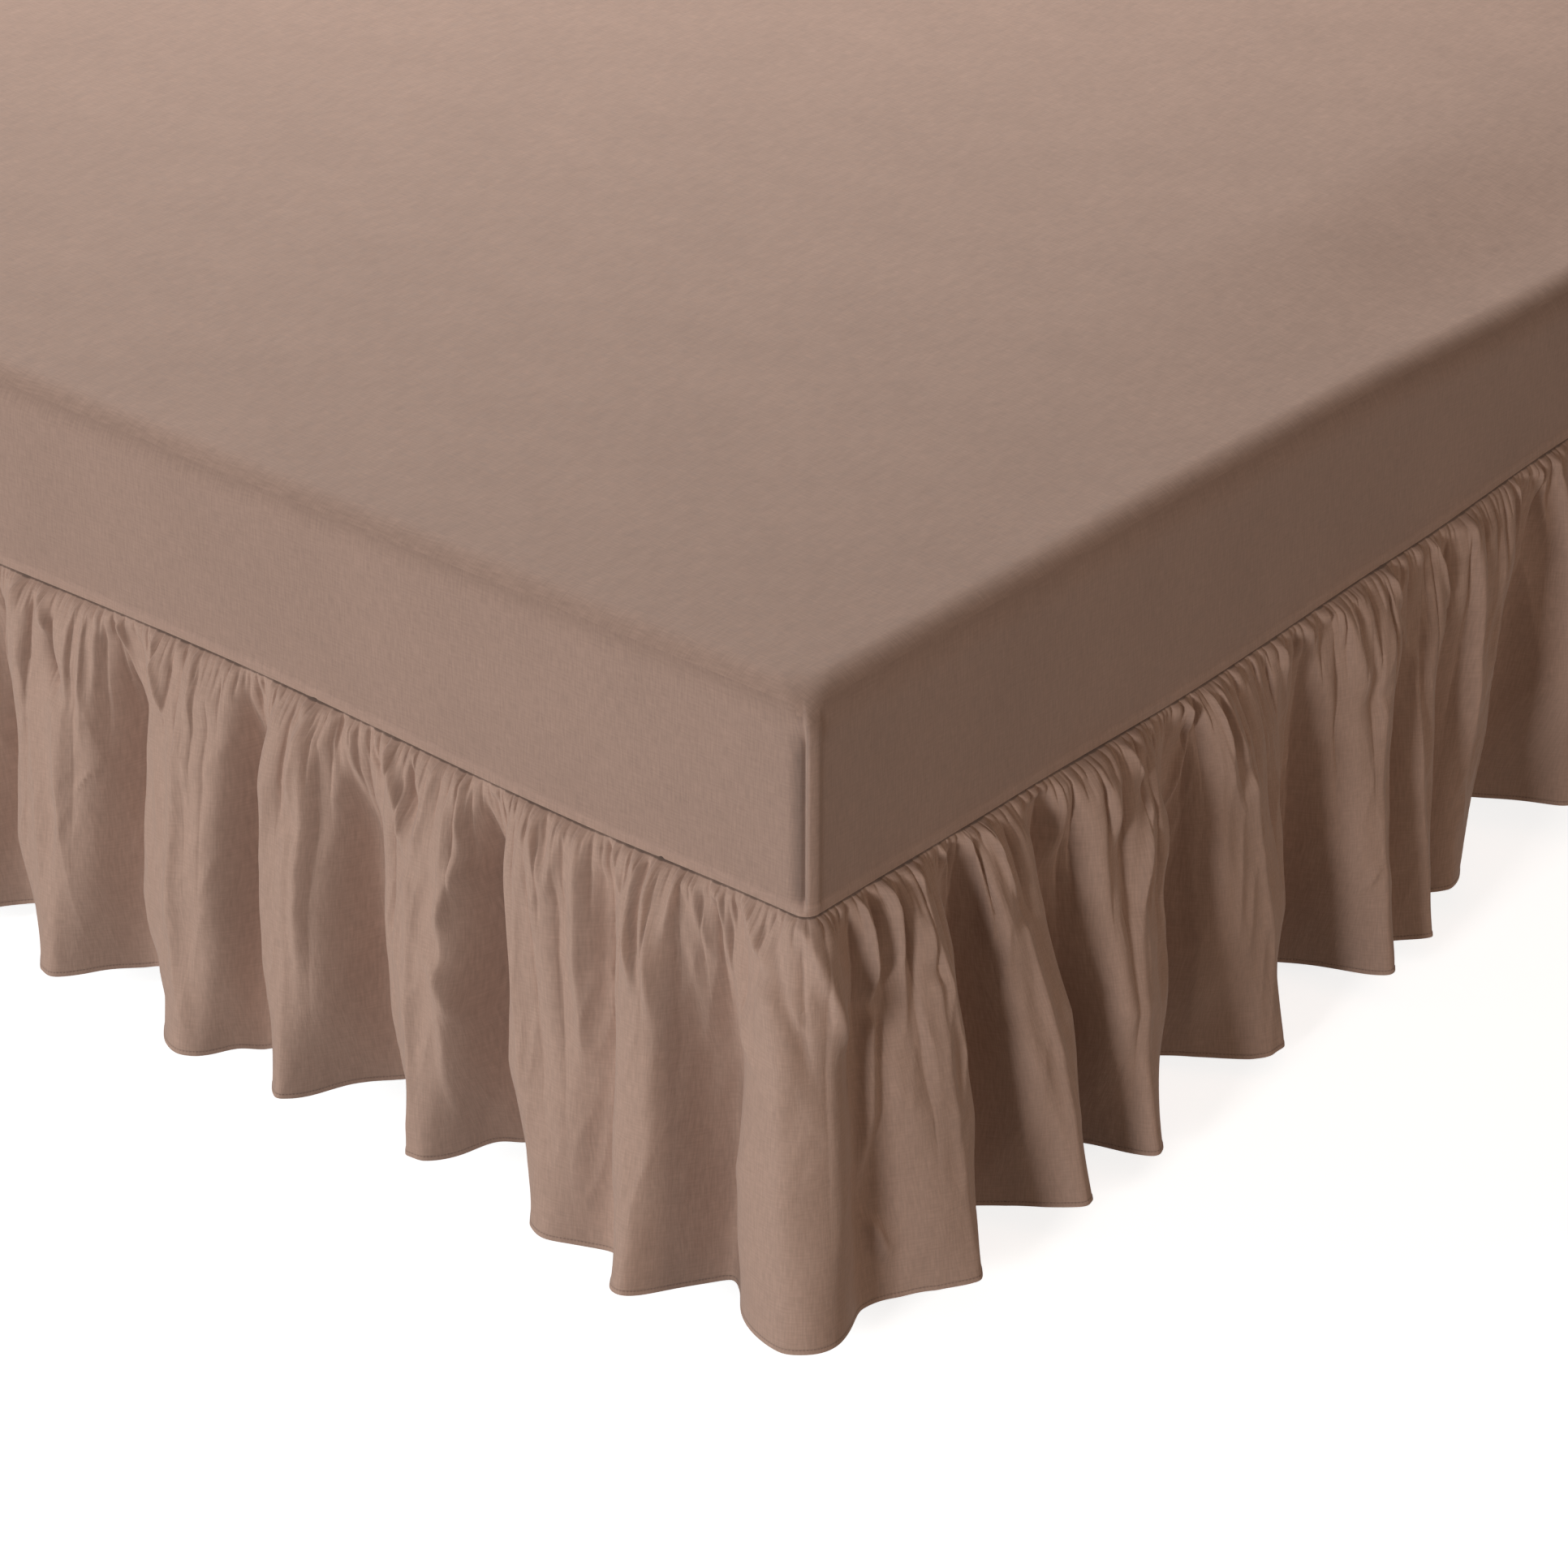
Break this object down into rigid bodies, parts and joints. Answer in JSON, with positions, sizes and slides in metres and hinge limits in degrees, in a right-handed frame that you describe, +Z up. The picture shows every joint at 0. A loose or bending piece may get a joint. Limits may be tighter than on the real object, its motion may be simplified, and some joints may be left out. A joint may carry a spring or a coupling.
{
  "type": "fitted bed skirt on a mattress and bed base",
  "caption": "Bed skirt whose fitted top and side band cover a mattress and whose gathered frill hangs in uneven folds round a plain bed base",
  "frame": {"origin": "on the floor under the middle of the bed base", "axes": "+X along the longer side of the bed, +Y across it, +Z up"},
  "size_m": [2.1967, 2.02, 0.612],
  "materials": {
    "base_wood": "plain oiled board",
    "mattress_cloth": "plain pale ticking",
    "skirt_cloth": "matte plain-weave cotton blend in warm mocha brown"
  },
  "bodies": {
    "root": {"bed_base": "base_wood", "mattress": "mattress_cloth", "cover": "skirt_cloth", "frill": "skirt_cloth"}
  },
  "joints": []
}
